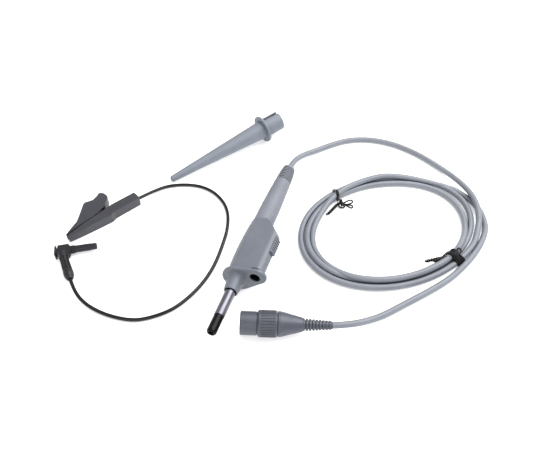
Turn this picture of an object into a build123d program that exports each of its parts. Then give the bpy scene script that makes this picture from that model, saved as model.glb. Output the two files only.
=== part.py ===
"""Passive oscilloscope probe set: probe, coiled lead, BNC plug, hook tip and ground lead.

Units are millimetres. The surface is Z = 0 and the probe points along -Y.
Each separate piece is written to parts/NAME.step.
"""

import os
from math import acos, cos, radians, sin, sqrt, tan

from build123d import *

# ------------------------------------------------------------ driving sizes
PROBE_ORIGIN = (57.9, -62.4, 10.5)  # on the probe's axis, 2 mm behind the finger guard's face
PROBE_TILT = 2.3  # degrees, tip up
PROBE_ROLL = 27.0  # degrees, ridge turned up from +X
GUARD_R, GUARD_LOBE_R, GUARD_LOBE_X, GUARD_T, GUARD_FRONT = 10.5, 6.4, 16.1, 2.6, 2.0
SOCKET_X, SOCKET_BORE_R = 14.5, 2.65
SOCKET_REAR, SOCKET_FRONT = -20.5, -6.0
BARREL_R, BARREL_BORE_R = 3.5, 2.3
NOSE_END, TIP_START, TIP_END = 13.2, 33.4, 46.9
HOUSING_REAR, HOUSING_WALL, RIDGE_R = -50.5, 1.4, 5.0
HANDLE_REAR, RELIEF_REAR = -98.5, -118.6
SWITCH_MID, SWITCH_STEM = -26.5, -29.0

CABLE_R, WIRE_R = 2.2, 1.25

BNC_FRONT = (71.6, -94.75, 9.3)
BNC_REAR = (127.2, -77.2, 7.65)
BNC_SHELL_R, BNC_GRIP_R, BNC_LENGTH = 7.6, 8.6, 58.3

HOOK_FLANGE = (22.9, 90.1, 11.6)
HOOK_TIP = (-29.6, 18.1, 2.4)
HOOK_LENGTH, HOOK_FLANGE_R, HOOK_BORE_R = 89.6, 11.5, 5.8
HOOK_REAR, HOOK_GRIP_R = -18.0, 8.0
HOOK_SOCKET_R, HOOK_SOCKET_DEPTH = 3.55, 14.0

CLIP_ORIGIN, CLIP_ANGLE, CLIP_T = (-74.4, -64.1, 0.0), 60.0, 7.4
CLIP_PIVOT = (30.0, 2.2)
PLUG_ORIGIN, PLUG_ANGLE = (-66.2, -73.1, 4.0), 30.0
PLUG_PIN_R = 2.6

COIL_CENTRE, COIL_A, COIL_B, COIL_TURN = (146.4, 22.4), 64.2, 46.7, 45.1
COIL_WIDTH, COIL_LOW, COIL_HIGH = 13.0, 0.6, 6.6

# Centre lines of the free leads, from one fixed end to the other.
PROBE_RUN = [
    (57.9, 56.1, 5.74),
    (57.9, 67.1, 5.3),
    (62.4, 79.1, 3.9),
    (71.1, 90.7, 2.2),
    (81.4, 101.6, 2.2),
    (93.8, 111.7, 2.2),
    (110.5, 117.8, 2.2),
    (128.3, 118.8, 2.2),
    (143.1, 115.6, 2.2),
    (157.2, 110.2, 2.2),
    (172.1, 101.4, 2.4),
    (186.3, 89.9, 4.2),
    (198.1, 75.6, 6.9),
    (205.2, 63.0, 7.3),
    (208.8, 48.4, 6.0),
    (208.7, 36.0, 3.7),
    (203.6, 22.7, 2.8),
]
PLUG_RUN = [
    (182.2, 79.6, 2.2),
    (195.4, 74.1, 2.2),
    (207.4, 64.6, 2.2),
    (213.8, 49.7, 2.2),
    (214.6, 36.8, 2.2),
    (210.4, 19.8, 2.2),
    (203.4, 3.4, 2.2),
    (194.3, -12.7, 2.2),
    (181.7, -28.5, 2.2),
    (168.4, -43.5, 2.2),
    (156.2, -57.9, 2.4),
    (145.4, -67.9, 4.7),
    (135.6, -74.55, 7.4),
    BNC_REAR,
]
WIRE_RUN = [
    (-43.99, -11.22, 3.7),
    (-41.1, -6.2, 3.4),
    (-37.0, 2.3, 2.0),
    (-30.1, 11.3, 1.25),
    (-16.6, 17.9, 1.25),
    (-2.5, 19.7, 1.25),
    (11.8, 14.6, 1.25),
    (24.5, 2.7, 1.25),
    (31.5, -15.1, 1.25),
    (34.0, -33.9, 1.25),
    (35.3, -50.9, 1.25),
    (33.9, -66.5, 1.25),
    (29.8, -80.9, 1.25),
    (23.1, -94.4, 1.25),
    (13.3, -103.8, 1.25),
    (2.5, -110.4, 1.25),
    (-12.7, -112.1, 1.25),
    (-26.0, -110.8, 1.4),
    (-37.2, -107.5, 2.3),
    (-46.4, -101.3, 3.4),
    (-51.9, -95.6, 4.0),
]

pieces = {}


# ------------------------------------------------------------ small helpers
def turned(points):
    """Solid of revolution about Z from (radius, station) points."""
    outline = Polyline(*[(r, 0, z) for r, z in points], close=True)
    return revolve(make_face(outline), Axis.Z)


def ring(outer, inner, low, high):
    """Tube, or rod when inner is 0, about Z between two stations."""
    return turned([(inner, low), (outer, low), (outer, high), (inner, high)])


def block(x, y, z):
    """Box from three (low, high) pairs."""
    size = [high - low for low, high in (x, y, z)]
    middle = [(high + low) / 2 for low, high in (x, y, z)]
    return Pos(*middle) * Box(*size)


def plate(points, low, high):
    """Polygon in XY, extruded between two heights."""
    return extrude(Pos(0, 0, low) * make_face(Polyline(*points, close=True)), high - low)


def eggshape(r_main, r_lobe, gap, z):
    """Face bounded by a circle at the origin, a smaller one at (gap, 0) and their tangents."""
    lean = acos((r_main - r_lobe) / gap)
    near = (r_main * cos(lean), r_main * sin(lean))
    far = (gap + r_lobe * cos(lean), r_lobe * sin(lean))
    edges = [
        ThreePointArc(near, (-r_main, 0), (near[0], -near[1])),
        Line((near[0], -near[1]), (far[0], -far[1])),
        ThreePointArc((far[0], -far[1]), (gap + r_lobe, 0), far),
        Line(far, near),
    ]
    return Pos(0, 0, z) * Face(Wire(edges))


def add(name, frame, shape):
    """Move a local shape into the set's frame and keep it."""
    pieces[name] = frame * shape


def lead(name, points, radius):
    """Tube along straight runs joined by tangent arcs."""
    radii = []
    for before, here, after in zip(points, points[1:], points[2:]):
        first = Vector(*here) - Vector(*before)
        second = Vector(*after) - Vector(*here)
        turn = radians(first.get_angle(second))
        radii.append(0.45 * min(first.length, second.length) / tan(turn / 2))
    path = FilletPolyline(*points, radius=radii)
    start = Plane(origin=path @ 0, z_dir=path % 0)
    tube = sweep(start * Circle(radius), path=path)
    pieces[name] = tube
    section = 3.141593 * radius**2
    ratio = tube.volume / section / path.length
    print(name, "length", round(path.length, 1), "volume ratio", round(ratio, 4))
    print("  bend radii", [round(r, 1) for r in radii])


# ------------------------------------------------------------ frames
def probe_frame():
    tilt, roll = radians(PROBE_TILT), radians(PROBE_ROLL)
    forward = (0, -cos(tilt), sin(tilt))
    ridge = (cos(roll), sin(roll) * sin(tilt), sin(roll) * cos(tilt))
    return Plane(origin=PROBE_ORIGIN, x_dir=ridge, z_dir=forward).location


def line_frame(origin, towards, x_dir):
    direction = Vector(*towards) - Vector(*origin)
    return Plane(origin=origin, x_dir=x_dir, z_dir=direction.normalized()).location


def flat_frame(origin, angle):
    return Plane(origin=origin, x_dir=(cos(radians(angle)), sin(radians(angle)), 0), z_dir=(0, 0, 1)).location


# ------------------------------------------------------------ probe
def probe():
    at = probe_frame()
    guard_rear = GUARD_FRONT - GUARD_T
    guard = extrude(eggshape(GUARD_R, GUARD_LOBE_R, GUARD_LOBE_X, guard_rear), GUARD_T)
    guard = fillet(guard.edges(), 0.8)
    nose = [(3.32, guard_rear - 2.4), (5.9, guard_rear - 2.4), (5.9, guard_rear), (7.5, guard_rear + 0.3)]
    nose += [(7.5, GUARD_FRONT), (6.7, GUARD_FRONT + 1.1), (6.05, 4.8), (4.75, NOSE_END - 0.3)]
    nose += [(4.5, NOSE_END), (4.1, NOSE_END), (4.1, 8.0), (3.32, 8.0)]
    guard += turned(nose)
    guard -= ring(3.32, 0, -6.0, 9.0)
    guard -= Pos(SOCKET_X, 0, 0) * ring(3.72, 0, -3.0, 3.0)
    add("finger_guard", at, guard)

    barrel = [(BARREL_BORE_R, -4.0), (3.3, -4.0), (3.3, NOSE_END + 0.2), (BARREL_R, NOSE_END + 0.4)]
    barrel += [(BARREL_R, TIP_START), (BARREL_BORE_R, TIP_START)]
    add("barrel", at, turned(barrel))
    sleeve = [(0.62, 26.5), (2.28, 26.5), (2.28, TIP_START), (3.3, TIP_START), (3.3, TIP_END - 1.7)]
    sleeve += [(3.15, TIP_END - 1.0), (2.8, TIP_END - 0.3), (2.3, TIP_END), (1.75, TIP_END - 0.25)]
    sleeve += [(1.5, TIP_END - 0.9), (1.5, TIP_END - 2.6), (0.62, TIP_END - 2.6)]
    add("tip_insulator", at, turned(sleeve))
    needle = [(0, 26.4), (0.6, 26.4), (0.6, TIP_END - 2.6), (0.12, TIP_END - 1.0), (0, TIP_END - 1.0)]
    add("contact_needle", at, turned(needle))
    network = ring(1.5, 0, 8.0, 24.0) + ring(0.3, 0, 6.0, 8.0) + ring(0.3, 0, 24.0, 26.4)
    add("tip_network", at, network)
    add("signal_lead", at, ring(0.4, 0, -23.0, 6.0))
    add("shield_tube", at, ring(2.25, 2.05, -12.0, 25.0))

    stations = [(7.9, guard_rear), (9.0, -28.0), (8.1, HOUSING_REAR)]
    outer = loft([eggshape(r, RIDGE_R, SOCKET_X, z) for r, z in stations])
    crest = SOCKET_X + RIDGE_R
    ridge_line = [(crest + 0.5, 0), (crest + 0.5, -33.5), (19.0, -35.5), (17.3, -39.0), (15.2, -42.3)]
    ridge_line += [(12.6, -45.6), (10.2, -48.2), (8.6, -49.6), (7.7, HOUSING_REAR)]
    side = Polyline((-10, 0, 0), *[(x, 0, z) for x, z in ridge_line], (-10, 0, HOUSING_REAR - 1), close=True)
    outer &= extrude(make_face(side), 12, both=True)
    wall = HOUSING_WALL
    inner = loft([eggshape(r - wall, RIDGE_R - wall, SOCKET_X, z) for r, z in stations])
    inner_line = [(x - wall - 0.5, z + 0.6) for x, z in ridge_line[:-3]] + [(8.6, -48.0), (6.2, -49.0)]
    side = Polyline((-10, 0, 0.6), *[(x, 0, z) for x, z in inner_line], (-10, 0, -49.0), close=True)
    inner &= extrude(make_face(side), 12, both=True)
    housing = outer - inner - ring(6.22, 0, HOUSING_REAR - 4, -41.0)
    housing -= block((crest - 0.6, crest + 2), (-6, 6), (SWITCH_MID - 9, SWITCH_MID + 9))
    housing -= block((17, 21), (-1.7, 1.7), (SWITCH_STEM - 4.2, SWITCH_STEM + 4.2))
    slit = Pos(SOCKET_X, 0, 0) * (ring(5.6, 4.4, -2.4, -1.6) & block((-1.6, 4.0), (0, 6), (-5, -1)))
    add("switch_housing", at, housing - slit)

    handle = [(4.9, -41.5), (6.2, -41.5), (6.2, HOUSING_REAR), (7.5, HOUSING_REAR), (7.38, -67.0), (7.25, -74.0)]
    handle += [(7.0, -81.0), (6.78, -88.6), (6.45, -95.8), (6.37, HANDLE_REAR), (4.22, HANDLE_REAR)]
    handle += [(4.22, -92.9), (5.6, -75.0)]
    add("handle_tube", at, turned(handle))

    relief = [(2.25, -93.4), (4.2, -93.4), (4.2, HANDLE_REAR), (6.3, HANDLE_REAR), (5.85, -110.8)]
    relief += [(5.05, RELIEF_REAR + 0.9), (4.5, RELIEF_REAR), (2.25, RELIEF_REAR)]
    relief = turned(relief)
    for step in range(8):
        low = HANDLE_REAR - 1.4 - 2.05 * step
        relief -= ring(8, 4.0, low - 0.95, low) & block((-0.8, 8), (-8, 8), (low - 2, low + 1))
        low = low - 0.95
        relief -= ring(8, 4.0, low - 0.85, low) & block((-8, -2.2), (-8, 8), (low - 2, low + 1))
    add("strain_relief", at, relief)
    add("cable_clamp", at, ring(3.0, CABLE_R + 0.02, -93.0, -87.0))
    add("cable_tail", at, ring(CABLE_R, 0, RELIEF_REAR, -84.0))
    add("cable_core", at, ring(0.7, 0, -84.0, -41.0))

    board = block((-4.4, 12.6), (-0.5, 0.5), (-41.0, -23.0))
    board += block((-2.6, 1.4), (0.5, 2.0), (-38.0, -35.0)) + block((-1.0, 3.0), (-1.6, -0.5), (-31.0, -28.5))
    board -= block((9.5, 13), (-1, 1), (-42, -38.5))
    add("circuit_board", at, board)
    low, high = SWITCH_STEM - 6.6, SWITCH_STEM + 6.0
    frame = block((13.4, 15.4), (-2.4, 2.4), (low, high))
    frame += block((12.6, 13.4), (-2.4, 2.4), (low, low + 1.2)) + block((12.6, 13.4), (-2.4, 2.4), (high - 1.0, high))
    frame -= block((11, 16), (-1.7, 1.7), (SWITCH_STEM - 4.2, SWITCH_STEM + 4.2))
    add("switch_frame", at, frame)
    contact = Pos(SOCKET_X, 0, 0) * ring(3.3, SOCKET_BORE_R, SOCKET_REAR, SOCKET_FRONT)
    add("ground_contact_tube", at, contact)
    bush = ring(3.5, 2.95, SOCKET_FRONT, guard_rear) + ring(3.7, 2.95, guard_rear, GUARD_FRONT - 0.8)
    add("socket_bush", at, Pos(SOCKET_X, 0, 0) * bush)
    add("ground_strap", at, block((2.27, SOCKET_X - 3.32), (-1.0, 1.0), (-9.4, -9.0)))

    pad = block((crest - 0.3, crest + 0.7), (-2.4, 2.4), (SWITCH_MID - 7, SWITCH_MID + 7))
    for step in range(7):
        middle = SWITCH_MID - 6 + 2 * step
        pad += block((crest + 0.6, crest + 1.3), (-2.4, 2.4), (middle - 0.5, middle + 0.5))
    pad += block((13.8, crest - 0.2), (-1.4, 1.4), (SWITCH_STEM - 2.4, SWITCH_STEM + 2.4))
    add("switch_knob", at, pad)
    wiper = block((13.0, 13.8), (-1.3, 1.3), (SWITCH_STEM - 2.0, SWITCH_STEM + 2.0))
    add("switch_wiper", at, wiper)


# ------------------------------------------------------------ BNC plug
def bnc():
    back = Vector(*BNC_FRONT) - Vector(*BNC_REAR)
    at = Plane(origin=BNC_FRONT, x_dir=(0, 0, 1), z_dir=back.normalized()).location
    shell = [(6.55, 0), (7.1, 0), (BNC_SHELL_R, -0.6), (BNC_SHELL_R, -10.4), (7.1, -10.4), (7.1, -11), (6.55, -11)]
    add("bnc_barrel", at, turned(shell))
    grip = [(6.55, -11.0), (7.7, -11.0), (BNC_GRIP_R, -12.0), (BNC_GRIP_R, -22.4), (8.15, -23.4), (6.55, -23.4)]
    grip = turned(grip)
    flutes = 30
    for step in range(flutes):
        groove = Pos(BNC_GRIP_R + 0.25, 0, -17.6) * Box(1.1, 0.8, 9.0)
        grip -= Rot(0, 0, step * 360 / flutes) * groove
    add("bnc_grip", at, grip)
    bayonet = ring(6.5, 4.9, -14.5, -1.5)
    for side in (0, 180):
        entry = block((4, 7), (-1.1, 1.1), (-8.2, -1.0))
        cross = ring(7, 4, -8.2, -6.0) & block((0, 7), (0, 6), (-9, -5))
        bayonet -= Rot(0, 0, side) * (entry + cross)
    add("bnc_bayonet_ring", at, bayonet)
    sleeve = ring(4.05, 3.5, -12.0, -1.5)
    for side in range(4):
        sleeve -= Rot(0, 0, 45 + side * 90) * block((3, 5), (-0.25, 0.25), (-8.5, -1.0))
    add("bnc_outer_contact", at, sleeve)
    add("bnc_dielectric", at, ring(3.4, 0.52, -12.0, -6.0))
    pin = [(0, -12.0), (0.5, -12.0), (0.5, -6.0), (0.675, -6.0), (0.675, -2.4), (0.3, -1.8), (0, -1.8)]
    add("bnc_centre_pin", at, turned(pin))
    core = [(0, -20.0), (3.0, -20.0), (3.0, -17.0), (6.2, -17.0), (6.2, -15.4), (4.6, -15.4), (4.6, -12.0)]
    add("bnc_core", at, turned(core + [(0, -12.0)]))
    add("bnc_spring_washer", at, ring(6.2, 4.65, -15.4, -14.8))
    cover = [(5.0, -17.0), (6.25, -17.0), (6.25, -23.7), (7.9, -23.7), (8.15, -24.0), (8.1, -25.4), (7.7, -27.5)]
    cover += [(6.6, -31.4), (5.5, -35.8), (4.6, -39.1), (4.4, -39.5), (3.05, -39.5), (3.05, -34.0), (5.0, -32.0)]
    add("bnc_rear_cover", at, turned(cover))
    add("bnc_ferrule", at, ring(3.0, CABLE_R + 0.02, -39.0, -34.0))
    board = block((-4.3, 4.3), (-0.5, 0.5), (-32.0, -20.0)) + block((-3.2, -0.6), (0.5, 1.8), (-24.0, -21.5))
    add("compensation_board", at, board)
    trimmer = Pos(1.2, 1.9, -27.5) * Rot(90, 0, 0) * (Cylinder(1.9, 2.8) - Pos(0, 0, -1.4) * Box(2.6, 0.5, 0.8))
    add("trimmer_capacitor", at, trimmer)
    relief = [(2.22, -39.5), (4.1, -39.5)]
    rings = 9
    pitch = (BNC_LENGTH - 39.5) / rings
    for step in range(rings):
        low = -39.5 - pitch * (step + 0.62)
        outer = 4.1 - 1.3 * (step + 0.62) / rings
        neck = 2.95 - 0.5 * (step + 0.8) / rings
        relief += [(outer, low), (neck, low)]
        if step < rings - 1:
            relief += [(neck, -39.5 - pitch * (step + 1)), (outer - 0.05, -39.5 - pitch * (step + 1))]
    relief += [(2.45, -BNC_LENGTH), (2.22, -BNC_LENGTH)]
    add("bnc_strain_relief", at, turned(relief))
    add("cable_plug_tail", at, ring(CABLE_R, 0, -BNC_LENGTH, -32.0))


# ------------------------------------------------------------ hook tip
def hook_tip():
    at = line_frame(HOOK_FLANGE, HOOK_TIP, (-0.168, 0.095, 0.981))
    cone = [(HOOK_BORE_R, 0), (7.75, 0), (6.85, 13.5), (2.4, HOOK_LENGTH - 0.5), (1.9, HOOK_LENGTH)]
    cone += [(1.15, HOOK_LENGTH), (1.15, 62), (1.6, 60), (1.6, 40), (3.3, 36), (3.3, 10), (HOOK_BORE_R, 10)]
    add("hook_cone", at, turned(cone))
    grip = ring(HOOK_GRIP_R, HOOK_BORE_R, HOOK_REAR, 0) + ring(HOOK_FLANGE_R, 7.0, -2.0, 0)
    grip = fillet(grip.edges().filter_by(GeomType.CIRCLE).filter_by(lambda e: e.radius > 11), 0.5)
    grip -= block((4, 9), (-1.3, 1.3), (HOOK_REAR - 1, -2.6))
    add("hook_grip", at, grip)
    rear = HOOK_REAR + 1.4
    carrier = ring(5.5, 0, rear, -2.0) + ring(3.0, 0, -2.0, 8.0)
    carrier += block((5.0, 7.0), (-1.0, 1.0), (rear, rear + 2.4))
    carrier -= ring(HOOK_SOCKET_R, 0, rear - 1, rear + HOOK_SOCKET_DEPTH)
    carrier -= ring(1.02, 0, -4.0, 9.0)
    add("hook_carrier", at, carrier)
    contact = ring(1.0, 0, rear + HOOK_SOCKET_DEPTH, 8.0) - ring(0.62, 0, -4.0, -0.5)
    add("hook_socket_contact", at, contact)
    wire_r, bend_r, top = 0.3, 0.425, HOOK_LENGTH - 1.6
    run = Line((-bend_r, 0, 8.0), (-bend_r, 0, top))
    run += ThreePointArc((-bend_r, 0, top), (0, 0, top + bend_r), (bend_r, 0, top))
    run += Line((bend_r, 0, top), (bend_r, 0, top - 2.0))
    wire = sweep(Pos(-bend_r, 0, 8.0) * Circle(wire_r), path=run)
    add("hook_wire", at, wire)
    coil = Helix(pitch=0.8, height=4.0, radius=4.0)
    start = Plane(origin=coil @ 0, z_dir=coil % 0)
    spring = sweep(start * Circle(0.3), path=coil)
    add("hook_spring", at, Pos(0, 0, -1.6) * spring)


# ------------------------------------------------------------ crocodile clip
def clip():
    at = flat_frame(CLIP_ORIGIN, CLIP_ANGLE)
    top, middle = CLIP_T, CLIP_T / 2
    taper = [(-1, 0.9), (22, 0), (62, 0), (62, top), (22, top), (-1, top - 0.9)]
    taper = extrude(make_face(Polyline(*[(x, 0, z) for x, z in taper], close=True)), 30, both=True)
    lower = [(1.4, -2.3), (11.7, -3.2), (20.8, -3.8), (35.2, -4.8), (38.8, -3.4), (42.7, -3.3), (60.3, -3.3)]
    lower += [(61, -2.6), (61, 4.0), (60.3, 4.7), (41, 4.9), (38, 4.4), (24.6, 2.5), (15.8, 2.0)]
    lower += [(6, 0.3), (1.0, -0.4), (0.7, -1.4)]
    cover = plate(lower, 0, top) & taper
    hollow = [(1.9, -0.95), (12, -1.9), (36, -3.3), (43, -2.1), (54, -2.1), (54, 6), (1.9, 6)]
    cover -= plate(hollow, 1.6, top - 1.6)
    cover -= plate([(53, -1.3), (62, -1.3), (62, 1.5), (53, 1.5)], middle - 1.4, middle + 1.4)
    add("clip_lower_cover", at, cover)

    low, high = 1.75, top - 1.75
    base = [(2.0, -0.9), (12, -1.8), (36, -3.2), (43.2, -2.0), (43.2, -1.5), (36, -2.6), (12, -1.2), (2.0, -0.3)]
    jaw = plate(base, low, high)
    side = [(2.2, -0.8), (12, -1.7), (36, -3.1), (36, 1.5), (32.2, 3.4), (30.9, 3.9), (29.1, 3.9), (27.8, 3.4)]
    side += [(22, 1.4), (15.5, 2.0)]
    for step in range(9):
        x = 14.5 - 1.4 * step
        side += [(x, 0.16 * x), (x - 0.7, 0.16 * x - 0.8)]
    side += [(2.2, 0.1)]
    jaw += plate(side, low, low + 0.5) + plate(side, high - 0.5, high)
    jaw -= Pos(CLIP_PIVOT[0], CLIP_PIVOT[1], middle) * Cylinder(0.82, 10)
    add("clip_lower_jaw", at, jaw)

    upper = [(0.6, 0.9), (6.4, 4.0), (12.6, 6.8), (17.2, 11.2), (25.0, 19.3), (26.8, 20.2), (32.8, 18.6)]
    upper += [(37.1, 20.2), (39.6, 21.9), (41.6, 21.4), (43.0, 19.0), (43.4, 15.0), (40.9, 11.5), (37.5, 8.7)]
    upper += [(28.6, 4.5), (24, 3.1), (15.2, 2.7), (6.6, 1.7)]
    lever = plate(upper, 0, top) & taper
    hollow = [(1.2, -0.4), (6.9, 2.9), (13.0, 5.2), (17.5, 9.2), (25.0, 17.0), (33.0, 14.0), (38.0, 6.0), (30.0, 3.0)]
    hollow += [(15.0, 1.0)]
    lever -= plate(hollow, 1.6, top - 1.6)
    add("clip_upper_cover", at, lever)

    low, high = 2.4, top - 2.4
    strip = [(3.6, 0.75), (6.6, 2.45), (12.9, 4.8), (17.4, 8.8), (24.4, 16.0), (24.8, 15.6)]
    strip += [(17.8, 8.4), (13.2, 4.3), (6.8, 1.95), (3.8, 0.3)]
    upper_jaw = plate(strip, low, high)
    side = [(5.0, 1.5), (12.6, 4.6), (17.05, 8.4), (19.5, 9.4), (30, 5.4), (32.2, 2.8), (31.8, 1.2), (30, 0.4)]
    side += [(28.4, 1.2), (26.8, 2.9), (22, 3.3), (15.5, 2.9)]
    for step in range(6):
        x = 14.5 - 1.5 * step
        side += [(x, 0.16 * x + 0.1), (x - 0.75, 0.16 * x + 0.7)]
    upper_jaw += plate(side, low, low + 0.5) + plate(side, high - 0.5, high)
    upper_jaw -= Pos(CLIP_PIVOT[0], CLIP_PIVOT[1], middle) * Cylinder(0.87, 10)
    add("clip_upper_jaw", at, upper_jaw)

    pin = Pos(CLIP_PIVOT[0], CLIP_PIVOT[1], middle) * Cylinder(0.8, top - 3.4)
    add("clip_pivot_pin", at, pin)
    spring = Pos(CLIP_PIVOT[0], CLIP_PIVOT[1], middle) * (Cylinder(1.5, 1.3) - Cylinder(0.85, 1.3))
    spring += plate([(31.0, 1.4), (39.4, 3.9), (39.1, 4.6), (30.9, 2.4)], middle - 0.3, middle + 0.3)
    add("clip_spring", at, spring)
    crimp = Pos(48.5, 0.1, middle) * Rot(0, 90, 0) * (Cylinder(1.9, 7.0) - Cylinder(1.27, 7.0))
    crimp += plate([(40.0, -1.45), (50.0, -1.45), (50.0, -1.15), (40.0, -1.15)], middle - 1.2, middle + 1.2)
    add("wire_crimp", at, crimp)
    tail = Pos(53.0, 0.1, middle) * Rot(0, 90, 0) * Cylinder(WIRE_R, 16.0)
    add("wire_tail", at, tail)


# ------------------------------------------------------------ right-angle plug
def ground_plug():
    at = flat_frame(PLUG_ORIGIN, PLUG_ANGLE)
    along = at * Rot(0, 90, 0)
    body = fillet(block((-8.4, -0.4), (-4.7, 4.2), (-3.7, 2.6)).edges(), 0.6)
    body += fillet(block((-6.6, -1.6), (-3.6, 3.2), (2.0, 3.3)).edges(), 0.4)
    body += block((-0.8, 0), (-3.2, 3.2), (-3.2, 2.2))
    body += Pos(-9.0, -0.3, -0.2) * Rot(0, 90, 0) * Cylinder(2.9, 2.0)
    body += fillet(block((-10.3, -9.1), (-4.4, 3.8), (-3.5, 2.8)).edges(), 0.5)
    add("plug_elbow", at, body)
    collar = [(0, 0), (3.05, 0), (3.05, 1.2), (2.5, 1.2), (2.5, 1.7), (3.05, 1.7), (3.05, 2.8), (2.5, 2.8)]
    collar += [(2.5, 3.2), (2.9, 3.2), (2.9, 3.8), (0, 3.8)]
    add("plug_collar", along, turned(collar) - ring(1.22, 0, -1, 5))
    add("plug_sleeve", along, ring(PLUG_PIN_R, 1.22, 3.8, 14.5))
    rod = ring(1.2, 0, 0, 14.5)
    rod += turned([(0, 14.5), (2.4, 14.5), (2.4, 18.4), (1.9, 19), (0, 19)])
    add("plug_contact", along, rod)
    leg = turned([(0, -2.0), (3.35, -2.0), (3.1, 6.0), (3.5, 17.4), (3.1, 19.6), (2.1, 21.7), (0, 21.7)])
    for turn in range(0, 360, 45):
        leg -= Rot(0, 0, turn) * block((2.75, 4.0), (-0.45, 0.45), (2.4, 14.0))
    start, end = Vector(*WIRE_RUN[-2]), Vector(*WIRE_RUN[-1])
    out = (start - end).normalized()
    root = Plane(origin=end - out * 21.7, x_dir=(0, 0, 1), z_dir=out).location
    pieces["plug_leg"] = root * leg - at * body


# ------------------------------------------------------------ leads, coil and ties
def leads():
    lead("cable_probe_end", PROBE_RUN, CABLE_R)
    lead("cable_plug_end", PLUG_RUN, CABLE_R)
    lead("ground_wire", WIRE_RUN, WIRE_R)
    half = COIL_WIDTH / 2
    band = extrude(Ellipse(COIL_A + half, COIL_B + half) - Ellipse(COIL_A - half, COIL_B - half), COIL_HIGH - COIL_LOW)
    band = fillet(band.edges(), 2.0)
    add("cable_coil", Pos(COIL_CENTRE[0], COIL_CENTRE[1], COIL_LOW) * Rot(0, 0, COIL_TURN), band)
    for name, spot, angle, tail in (
        ("twist_tie_left", (102.0, 42.0), 31.0, -6.0),
        ("twist_tie_right", (195.9, 12.5), 61.0, 6.0),
    ):
        tie = Box(2.2, 14.2, 7.0) - Box(3.0, 13.2, 6.1)
        tie += Pos(0, tail, 4.0) * Cylinder(1.5, 1.6)
        tie += Pos(-8.0 if tail < 0 else 8.0, tail, 4.0) * Rot(0, 90, 0) * Cylinder(0.7, 16.0)
        add(name, Pos(spot[0], spot[1], 3.6) * Rot(0, 0, angle), tie)


probe()
bnc()
hook_tip()
clip()
ground_plug()
leads()

os.makedirs("parts", exist_ok=True)
for name, shape in pieces.items():
    export_step(shape, os.path.join("parts", name + ".step"))
print(len(pieces), "pieces")
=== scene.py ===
"""Looks of the oscilloscope probe set: cords, ties, materials, floor, light and camera."""

import math

import bmesh
import bpy
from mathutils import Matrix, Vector


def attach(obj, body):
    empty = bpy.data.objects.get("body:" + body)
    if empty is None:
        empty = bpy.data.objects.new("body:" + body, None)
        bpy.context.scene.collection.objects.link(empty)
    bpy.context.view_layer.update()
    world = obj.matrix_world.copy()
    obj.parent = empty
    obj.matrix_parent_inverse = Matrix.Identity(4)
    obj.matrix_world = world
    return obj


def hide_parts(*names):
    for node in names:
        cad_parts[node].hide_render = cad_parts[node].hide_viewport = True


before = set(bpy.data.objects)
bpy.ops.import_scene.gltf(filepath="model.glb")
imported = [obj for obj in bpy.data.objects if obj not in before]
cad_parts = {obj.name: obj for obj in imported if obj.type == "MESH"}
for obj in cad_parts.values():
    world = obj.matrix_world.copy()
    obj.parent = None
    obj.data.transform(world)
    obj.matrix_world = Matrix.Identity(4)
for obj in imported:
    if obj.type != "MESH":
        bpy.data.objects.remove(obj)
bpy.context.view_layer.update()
MM = 0.001


# ------------------------------------------------------------ camera, light and floor
def aim(obj, direction):
    obj.rotation_euler = Vector(direction).to_track_quat("-Z", "Y").to_euler()


def link(obj):
    bpy.context.scene.collection.objects.link(obj)
    return obj


def add_camera():
    data = bpy.data.cameras.new("camera")
    data.sensor_width = 36.0
    data.sensor_fit = "HORIZONTAL"
    data.lens = 37.33
    data.clip_start = 0.01
    camera = link(bpy.data.objects.new("camera", data))
    camera.location = (0.14941, -0.26956, 0.31301)
    aim(camera, (-0.21042, 0.63518, -0.74314))
    bpy.context.scene.camera = camera


def add_area(name, place, target, size, power):
    data = bpy.data.lights.new(name, "AREA")
    data.shape = "SQUARE"
    data.size = size
    data.energy = power
    light = link(bpy.data.objects.new(name, data))
    light.location = place
    aim(light, Vector(target) - Vector(place))


def add_studio():
    world = bpy.data.worlds.new("studio")
    world.use_nodes = True
    world.node_tree.nodes["Background"].inputs["Color"].default_value = (1.0, 1.0, 1.0, 1.0)
    world.node_tree.nodes["Background"].inputs["Strength"].default_value = 0.75
    bpy.context.scene.world = world
    centre = (0.06, 0.0, 0.0)
    add_area("overhead", (0.35, 0.30, 0.70), centre, 0.8, 11.0)
    add_area("front_fill", (0.1, -0.8, 0.45), centre, 0.7, 2.5)
    bpy.context.scene.view_settings.view_transform = "Standard"


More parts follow.
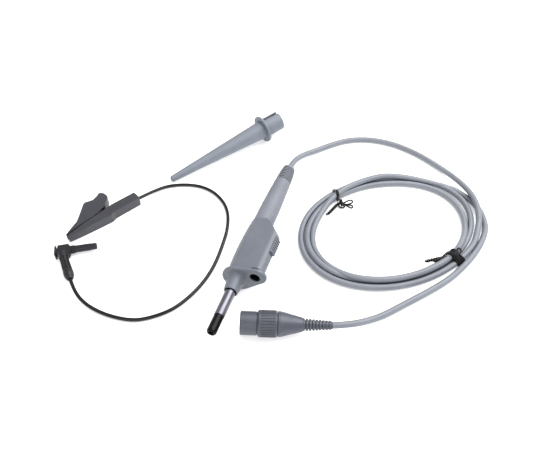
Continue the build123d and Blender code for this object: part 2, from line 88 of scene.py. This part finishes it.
# ------------------------------------------------------------ materials
class Nodes:
    """Small builder for a procedural material in row coordinates."""

    def __init__(self, name):
        self.material = bpy.data.materials.new(name)
        self.material.use_nodes = True
        self.tree = self.material.node_tree
        self.shader = self.tree.nodes["Principled BSDF"]
        self.place = self.tree.nodes.new("ShaderNodeTexCoord").outputs["Object"]

    def node(self, kind, **inputs):
        made = self.tree.nodes.new(kind)
        for key, value in inputs.items():
            self.feed(made.inputs[key.replace("_", " ")], value)
        return made

    def feed(self, socket, value):
        if isinstance(value, bpy.types.NodeSocket):
            self.tree.links.new(value, socket)
        else:
            socket.default_value = value

    def noise(self, scale, detail=3.0, stretch=None):
        place = self.place
        if stretch is not None:
            mapping = self.node("ShaderNodeMapping", Vector=place)
            mapping.inputs["Scale"].default_value = stretch
            place = mapping.outputs["Vector"]
        made = self.node("ShaderNodeTexNoise", Vector=place)
        made.inputs["Scale"].default_value = scale
        made.inputs["Detail"].default_value = detail
        return made.outputs["Fac"]

    def span(self, value, low, high, start=0.3, end=0.7):
        made = self.node("ShaderNodeMapRange", Value=value)
        made.inputs["From Min"].default_value = start
        made.inputs["From Max"].default_value = end
        made.inputs["To Min"].default_value = low
        made.inputs["To Max"].default_value = high
        return made.outputs["Result"]

    def mix(self, factor, first, second):
        made = self.tree.nodes.new("ShaderNodeMix")
        made.data_type = "RGBA"
        self.feed(made.inputs[0], factor)
        self.feed(made.inputs[6], first)
        self.feed(made.inputs[7], second)
        return made.outputs[2]


def shade(colour, factor):
    return tuple(min(1.0, channel * factor) for channel in colour) + (1.0,)


# Painted shade: within this reach, ambient occlusion darkens a colour towards SHADED times itself in
# crevices and gaps.
PAINTED_SHADE_REACH = 0.0016
GRAIN_DEPTH = 0.00008
WORN, SHADED = 1.55, 0.12


def finish_and_painted_shade(
    name,
    colour,
    rough,
    metal=0.0,
    grain=2500.0,
    bump=0.15,
    drift=0.10,
    rub=0.15,
    edge=0.0003,
    shade_cutoff=0.75,
    **facts,
):
    """Grained, slightly uneven surface with rubbed patches, painted shade in crevices and soft edges.

    drift is how far the colour wanders, rub how light the worn patches get, edge the radius of the
    edges in metres and the last named argument how open a crevice has to be to escape the painted shade.
    facts are plain shader sockets.
    """
    n = Nodes(name)
    broad = n.noise(55.0, 4.0)
    fine = n.noise(grain, 2.0)
    patches = n.noise(210.0, 5.0)
    base = n.mix(n.span(broad, 0.0, 1.0), shade(colour, 1.0 - drift), shade(colour, 1.0 + drift))
    speck = n.mix(n.span(fine, 0.0, 0.35), base, shade(colour, 1.0 + 2.0 * drift))
    rubbed = n.span(patches, 0.0, rub, 0.56, 0.72)
    worn = n.mix(rubbed, speck, shade(colour, WORN))
    # Painted shade: the colour is darkened where ambient occlusion finds a crevice or gap close by.
    crevice = n.node("ShaderNodeAmbientOcclusion")
    crevice.samples = 8
    crevice.inputs["Distance"].default_value = PAINTED_SHADE_REACH
    painted_shade_share = n.span(crevice.outputs["AO"], 0.0, 1.0, 0.25, shade_cutoff)
    n.feed(n.shader.inputs["Base Color"], n.mix(painted_shade_share, shade(colour, SHADED), worn))
    n.feed(n.shader.inputs["Roughness"], n.span(patches, rough - 0.07, rough + 0.07))
    n.shader.inputs["Metallic"].default_value = metal
    rounded = n.node("ShaderNodeBevel")
    rounded.inputs["Radius"].default_value = edge
    made = n.node("ShaderNodeBump", Height=fine, Normal=rounded.outputs["Normal"])
    made.inputs["Strength"].default_value = bump
    made.inputs["Distance"].default_value = GRAIN_DEPTH
    n.feed(n.shader.inputs["Normal"], made.outputs["Normal"])
    for key, value in facts.items():
        n.shader.inputs[key.replace("_", " ")].default_value = value
    return n.material


def paint(material, *names):
    for name in names:
        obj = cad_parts[name] if isinstance(name, str) else name
        obj.data.materials.clear()
        obj.data.materials.append(material)


# ------------------------------------------------------------ cords
PROBE_RUN = [
    (57.9, 56.1, 5.74),
    (58.23, 66.83, 5.3),
    (63.28, 78.38, 3.9),
    (72.2, 89.8, 2.2),
    (82.28, 100.88, 2.2),
    (94.24, 111.34, 2.2),
    (110.5, 117.8, 2.2),
    (128.3, 118.8, 2.2),
    (143.1, 115.6, 2.2),
    (157.2, 110.2, 2.2),
    (172.1, 101.4, 2.4),
    (186.3, 89.9, 4.2),
    (198.1, 75.6, 6.9),
    (205.2, 63, 7.3),
    (208.8, 48.4, 6),
    (208.7, 36, 3.7),
]
PLUG_RUN = [
    (182.2, 79.6, 2.2),
    (195.4, 74.1, 2.2),
    (207.4, 64.6, 2.2),
    (213.8, 49.7, 2.2),
    (214.6, 36.8, 2.2),
    (210.4, 19.8, 2.2),
    (203.4, 3.4, 2.2),
    (194.3, -12.7, 2.2),
    (181.7, -28.11, 2.2),
    (168.4, -42.72, 2.2),
    (156.2, -56.6, 2.4),
    (145.4, -66.6, 4.7),
    (135.6, -73.77, 7.4),
    (127.2, -77.2, 7.65),
]
WIRE_RUN = [
    (-43.99, -11.22, 3.7),
    (-41.1, -6.4, 3.4),
    (-37, 1.9, 2),
    (-30.1, 10.9, 1.25),
    (-16.35, 17.5, 1.25),
    (-1.82, 19.3, 1.25),
    (12.6, 14.2, 1.25),
    (25.3, 2.3, 1.25),
    (32.3, -15.5, 1.25),
    (34.8, -33.9, 1.25),
    (36.1, -50.9, 1.25),
    (34.7, -66.5, 1.25),
    (30.6, -80.9, 1.25),
    (23.9, -94.4, 1.25),
    (14.1, -103.8, 1.25),
    (3.28, -110.4, 1.25),
    (-12.32, -112.1, 1.25),
    (-25.97, -110.8, 1.4),
    (-37.2, -107.5, 2.3),
    (-46.4, -101.3, 3.4),
    (-51.9, -95.6, 4),
]
CABLE_R, WIRE_R = 2.2, 1.25

# The coil: a tilted oval, wound clockwise. Keys are (degrees wound, outward offset, height).
COIL_CENTRE, COIL_A, COIL_B = (146.1, 21.7), 64.5, 47.8
COIL_TURN, COIL_START, COIL_STEP = math.radians(45.1), -52.0, 22.5
COIL_KEYS = [
    (0, 5.5, 2.9),
    (29, 3.6, 2.2),
    (57, 2.8, 2.2),
    (127, 4.2, 2.2),
    (173, 4.6, 2.2),
    (203, 3.0, 2.2),
    (231, 2.2, 2.2),
    (255, 0.0, 2.2),
    (279, 2.0, 2.2),
    (308, 3.2, 2.2),
    (344, 1.0, 2.2),
    (389, -0.9, 2.2),
    (436, -1.8, 2.2),
    (487, 0.2, 4.4),
    (509, -0.3, 3.0),
    (533, 0.1, 2.2),
    (563, -1.4, 2.2),
    (615, -4.6, 2.2),
    (668, -4.6, 2.2),
    (704, -3.6, 2.6),
    (735, -0.5, 5.8),
    (777, -0.9, 5.9),
    (796, -1.0, 5.6),
    (847, -4.0, 2.4),
    (893, -4.4, 2.2),
    (923, -0.6, 5.8),
    (951, 0.2, 6.1),
    (975, 2.4, 5.8),
    (999, 6.8, 2.8),
    (1013, 8.0, 2.2),
]


def eased(keys, wound):
    """Offset and height between keys, with a smooth start and stop at each."""
    for (a, low_off, low_z), (b, high_off, high_z) in zip(keys, keys[1:]):
        if wound <= b:
            share = max(0.0, (wound - a) / (b - a))
            share = share * share * (3.0 - 2.0 * share)
            return low_off + (high_off - low_off) * share, low_z + (high_z - low_z) * share
    return keys[-1][1:]


def coil_points():
    outward = 1.0 / math.cos(math.radians(COIL_STEP) / 2.0)
    points = []
    wound = 0.0
    while wound < 990.0:
        offset, height = eased(COIL_KEYS, wound)
        angle = math.radians(COIL_START - wound)
        x = (COIL_A + offset) * outward * math.cos(angle)
        y = (COIL_B + offset) * outward * math.sin(angle)
        across = x * math.cos(COIL_TURN) - y * math.sin(COIL_TURN)
        along = x * math.sin(COIL_TURN) + y * math.cos(COIL_TURN)
        points.append((COIL_CENTRE[0] + across, COIL_CENTRE[1] + along, height))
        wound += COIL_STEP
    return points


def spline_object(name, paths, radius, detail=6):
    """Round cord of the given radius along one or more paths of points in millimetres."""
    data = bpy.data.curves.new(name, "CURVE")
    data.dimensions = "3D"
    data.bevel_depth = 1.0
    data.bevel_resolution = detail
    data.use_fill_caps = True
    data.resolution_u = 10
    for points in paths:
        spline = data.splines.new("NURBS")
        spline.points.add(len(points) - 1)
        for point, place in zip(spline.points, points):
            point.co = (place[0] * MM, place[1] * MM, place[2] * MM, 1.0)
            point.radius = radius * MM
        spline.order_u = 3
        spline.use_endpoint_u = True
        spline.use_smooth = True
    return link(bpy.data.objects.new(name, data))


def centre_line(obj):
    """Points of a cord's own line, in millimetres."""
    bare = obj.copy()
    bare.data = obj.data.copy()
    bare.data.bevel_depth = 0.0
    link(bare)
    bpy.context.view_layer.update()
    mesh = bpy.data.meshes.new_from_object(bare.evaluated_get(bpy.context.evaluated_depsgraph_get()))
    line = [v.co / MM for v in mesh.vertices]
    bpy.data.objects.remove(bare)
    return line


add_camera()
add_studio()

BNC_NODES = ["bnc_barrel", "bnc_grip", "bnc_bayonet_ring", "bnc_outer_contact", "bnc_dielectric"]
BNC_NODES += ["bnc_centre_pin", "bnc_core", "bnc_spring_washer", "bnc_rear_cover", "bnc_strain_relief"]
BNC_NODES += ["compensation_board", "trimmer_capacitor", "bnc_ferrule", "cable_plug_tail"]

cable = spline_object("probe_cable", [PROBE_RUN + coil_points() + PLUG_RUN], CABLE_R)
cable_line = centre_line(cable)
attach(cable, "probe_and_cable")
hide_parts("cable_probe_end", "cable_coil", "cable_plug_end")

wire = spline_object("ground_wire_jacket", [WIRE_RUN], WIRE_R)
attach(wire, "ground_lead")
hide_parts("ground_wire")


# ------------------------------------------------------------ twist ties
TIE_R = 0.62
WRAP_STEPS = 32


def strands_at(spot, along, reach):
    """Where the cable passes a plane across the bundle: (offset across, height) of each strand."""
    across = Vector((along.y, -along.x, 0.0))
    found = []
    for a, b in zip(cable_line, cable_line[1:]):
        before, after = (a - spot).dot(along), (b - spot).dot(along)
        if before * after <= 0.0 and before != after:
            place = a.lerp(b, before / (before - after))
            offset = (place - spot).dot(across)
            if abs(offset) < reach:
                found.append((offset, place.z))
    return across, found


def hull_loop(strands):
    """Closed outline pulled tight round the strands, as (offset, height) points."""
    gap = CABLE_R + TIE_R
    outline = []
    for step in range(WRAP_STEPS):
        angle = 2.0 * math.pi * step / WRAP_STEPS
        aim_x, aim_z = math.cos(angle), math.sin(angle)
        offset, height = max(strands, key=lambda s: s[0] * aim_x + s[1] * aim_z)
        outline.append((offset + gap * aim_x, max(height + gap * aim_z, TIE_R)))
    return outline


def tie_wraps(spot, heading, turns, width, reach=11.0):
    """Path of tie wire wound several times round the strands that lie within reach of the spot."""
    spot = Vector((spot[0], spot[1], 0.0))
    along = Vector((math.cos(math.radians(heading)), math.sin(math.radians(heading)), 0.0))
    points = []
    for step in range(WRAP_STEPS * turns):
        shift = width * (step / (WRAP_STEPS * turns) - 0.5)
        across, strands = strands_at(spot + along * shift, along, reach)
        offset, height = hull_loop(strands)[step % WRAP_STEPS]
        lean = 0.35 * math.sin(2.1 * (step // WRAP_STEPS)) * math.sin(2.0 * math.pi * step / WRAP_STEPS)
        place = spot + across * offset + along * (shift + lean)
        points.append((place.x, place.y, height))
    return points


def twisted(path, turns, spread=0.72):
    """Paths of two wires twisted round each other along a short line."""
    guide_object = spline_object("tie_guide", [path], TIE_R)
    guide = centre_line(guide_object)
    bpy.data.objects.remove(guide_object)
    pair = []
    for side in (0.0, math.pi):
        points = []
        for step, here in enumerate(guide):
            ahead = guide[min(step + 1, len(guide) - 1)] - guide[max(step - 1, 0)]
            level = ahead.cross(Vector((0.0, 0.0, 1.0))).normalized()
            upright = level.cross(ahead).normalized()
            turn = side + 2.0 * math.pi * turns * step / (len(guide) - 1)
            place = here + (level * math.cos(turn) + upright * math.sin(turn)) * spread
            points.append((place.x, place.y, max(place.z, TIE_R)))
        pair.append(points)
    return pair


def left_tie():
    bow = [(106.8, 34.6, 3.0), (108.4, 34.8, 2.8), (110.3, 36.4, 4.0), (112.6, 37.8, 5.0)]
    bow += [(114.7, 37.5, 5.0)]
    bow += [(114.9, 35.9, 4.0), (111.9, 34.7, 3.0), (109.0, 34.0, 2.6), (107.2, 33.4, 2.4)]
    bow += [(109.3, 34.3, 2.2), (112.5, 33.3, 2.0), (115.3, 32.9, 1.5), (116.1, 34.5, 1.5)]
    bow += [(115.0, 35.5, 2.0)]
    bow += [(111.6, 34.5, 2.5), (108.8, 34.1, 2.6), (106.4, 34.8, 2.5)]
    bow += [(105.1, 33.1, 2.0), (105.9, 31.5, 1.2), (107.8, 31.3, 1.0), (109.7, 32.3, 1.2)]
    bow += [(109.8, 34.2, 2.0)]
    knot = [(105.6, 36.6, 4.2), (106.4, 35.2, 3.4), (107.3, 34.0, 2.6), (108.0, 32.9, 1.9)]
    tail = [(106.2, 35.4, 3.0), (103.8, 32.7, 2.2), (102.2, 28.6, 1.7), (100.6, 24.2, 1.6)]
    tail += [(99.0, 20.6, 1.5)]
    return [tie_wraps((102.0, 40.2), 36.0, 3, 1.8), bow] + twisted(knot, 2.0) + twisted(tail, 4.5)


def right_tie():
    hook = [(193.8, 5.6, 7.4), (192.2, 7.2, 7.0), (190.3, 8.6, 6.0), (188.6, 7.0, 4.4)]
    hook += [(186.8, 4.6, 2.8)]
    curl = [(194.8, 5.8, 7.6), (195.2, 9.4, 8.4), (196.2, 12.1, 8.4), (197.9, 12.0, 7.9)]
    curl += [(198.6, 9.8, 7.4)]
    curl += [(197.6, 7.4, 7.2), (195.8, 5.9, 7.0)]
    end = [(193.9, 3.0, 6.4), (195.8, 2.5, 4.6), (197.0, 1.5, 2.6), (196.6, 0.0, 1.3)]
    end += [(195.3, -0.6, 0.9)]
    tail = [(193.4, 4.8, 6.6), (189.5, 3.4, 5.6), (185.1, 1.6, 4.6), (180.6, -0.3, 3.4)]
    tail += [(176.2, -2.5, 2.4)]
    stub = [(192.2, 3.4, 6.6), (188.3, 1.5, 6.4), (184.7, -1.5, 6.2), (181.6, -3.9, 6.2)]
    wraps = [tie_wraps((193.4, 7.2), 66.0, 5, 6.5, 7.0), tie_wraps((194.2, 7.4), 84.0, 2, 4.0, 7.0)]
    return wraps + [hook, curl, end] + twisted(tail, 5.0) + twisted(stub, 3.5)


tie_pieces = []
TIES = [("tie_left", "twist_tie_left", left_tie()), ("tie_right", "twist_tie_right", right_tie())]
for name, node, paths in TIES:
    tie = spline_object(name, paths, TIE_R, detail=3)
    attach(tie, "probe_and_cable")
    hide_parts(node)
    tie_pieces.append(tie)

# ------------------------------------------------------------ finishes, each with painted shade in crevices
housing = finish_and_painted_shade("housing_grey_plastic", (0.112, 0.124, 0.148), 0.42)
handle = finish_and_painted_shade("handle_grey_plastic", (0.145, 0.155, 0.18), 0.58)
nickel = finish_and_painted_shade("nickel_plate", (0.30, 0.30, 0.34), 0.30, metal=1.0, bump=0.05, drift=0.05)
gold = finish_and_painted_shade("gold_plate", (0.72, 0.52, 0.22), 0.25, metal=1.0, bump=0.05, drift=0.05)
brass = finish_and_painted_shade("drawn_brass", (0.60, 0.42, 0.18), 0.3, metal=1.0, bump=0.05, drift=0.06)
black = finish_and_painted_shade("black_tip_plastic", (0.004, 0.004, 0.005), 0.16, bump=0.05, Specular_IOR_Level=0.12)
satin = finish_and_painted_shade("satin_barrel", (0.15, 0.152, 0.17), 0.34, metal=1.0, bump=0.05, drift=0.05)
bnc_grey = finish_and_painted_shade("bnc_blue_grey_plastic", (0.050, 0.055, 0.073), 0.42)
jacket = finish_and_painted_shade("cable_vinyl", (0.155, 0.168, 0.195), 0.45, grain=1800.0, bump=0.08)
tie_black = finish_and_painted_shade("tie_black_plastic", (0.004, 0.004, 0.005), 0.3, Specular_IOR_Level=0.2)
hook_grey = finish_and_painted_shade("hook_grey_plastic", (0.145, 0.162, 0.192), 0.55)
core_grey = finish_and_painted_shade("hook_core_plastic", (0.04, 0.042, 0.05), 0.4)
vinyl = finish_and_painted_shade("clip_vinyl", (0.028, 0.029, 0.037), 0.42)
wire_black = finish_and_painted_shade("wire_vinyl", (0.008, 0.008, 0.0095), 0.2, bump=0.05, Specular_IOR_Level=0.25)
charcoal = finish_and_painted_shade("plug_charcoal_plastic", (0.012, 0.012, 0.015), 0.42, Specular_IOR_Level=0.3)
green = finish_and_painted_shade("solder_mask_green", (0.02, 0.09, 0.045), 0.35)
white = finish_and_painted_shade("white_insulator", (0.72, 0.72, 0.68), 0.4)
lacquer = finish_and_painted_shade("component_lacquer", (0.35, 0.2, 0.09), 0.3)
steel = finish_and_painted_shade("spring_steel", (0.45, 0.45, 0.46), 0.3, metal=1.0, bump=0.05)
# Stronger painted shade between the switch ribs.
knob_grey = finish_and_painted_shade("switch_grey_plastic", (0.16, 0.17, 0.2), 0.45, edge=0.0001, shade_cutoff=0.95)

paint(housing, "switch_housing", "finger_guard")
# Stronger painted shade in the strain-relief slits.
relief_grey = finish_and_painted_shade("relief_grey_plastic", (0.165, 0.177, 0.205), 0.55, edge=0.00002, shade_cutoff=0.92)
paint(handle, "handle_tube")
paint(relief_grey, "strain_relief")
paint(satin, "barrel")
paint(nickel, "ground_contact_tube", "bnc_bayonet_ring", "bnc_outer_contact", "bnc_core")
paint(nickel, "clip_lower_jaw", "clip_upper_jaw", "clip_pivot_pin")
paint(nickel, "wire_crimp", "cable_clamp", "bnc_ferrule")
paint(gold, "contact_needle", "bnc_centre_pin", "hook_socket_contact", "switch_wiper", "ground_strap")
paint(gold, "signal_lead", "cable_core")
paint(brass, "shield_tube")
paint(black, "tip_insulator", "socket_bush")
paint(green, "circuit_board", "compensation_board")
paint(white, "bnc_dielectric", "switch_frame")
paint(lacquer, "tip_network", "trimmer_capacitor")
paint(knob_grey, "switch_knob")
paint(steel, "bnc_spring_washer", "hook_spring", "hook_wire", "clip_spring")
paint(bnc_grey, "bnc_barrel", "bnc_grip", "bnc_rear_cover", "bnc_strain_relief")
paint(jacket, "cable_tail", "cable_plug_tail", cable)
paint(tie_black, *tie_pieces)
paint(hook_grey, "hook_cone", "hook_grip")
paint(core_grey, "hook_carrier")
paint(vinyl, "clip_lower_cover", "clip_upper_cover")
paint(wire_black, "wire_tail", wire)
paint(charcoal, "plug_elbow", "plug_leg", "plug_collar", "plug_sleeve", "plug_contact")


# ------------------------------------------------------------ floor
def add_floor():
    mesh = bpy.data.meshes.new("floor")
    shape = bmesh.new()
    bmesh.ops.create_grid(shape, x_segments=4, y_segments=4, size=6.0)
    shape.to_mesh(mesh)
    floor = link(bpy.data.objects.new("floor", mesh))
    floor.location.z = -0.0002
    grey = (0.82, 0.82, 0.82)
    # The floor's finish also paints shade onto it where parts sit close above it.
    pale = finish_and_painted_shade("studio_floor", grey, 0.9, grain=400.0, bump=0.0, drift=0.005, rub=0.0)
    glow = pale.node_tree.nodes["Principled BSDF"].inputs
    glow["Emission Color"].default_value = (1.0, 1.0, 1.0, 1.0)
    glow["Emission Strength"].default_value = 0.45
    paint(pale, floor)


add_floor()

bpy.context.view_layer.update()
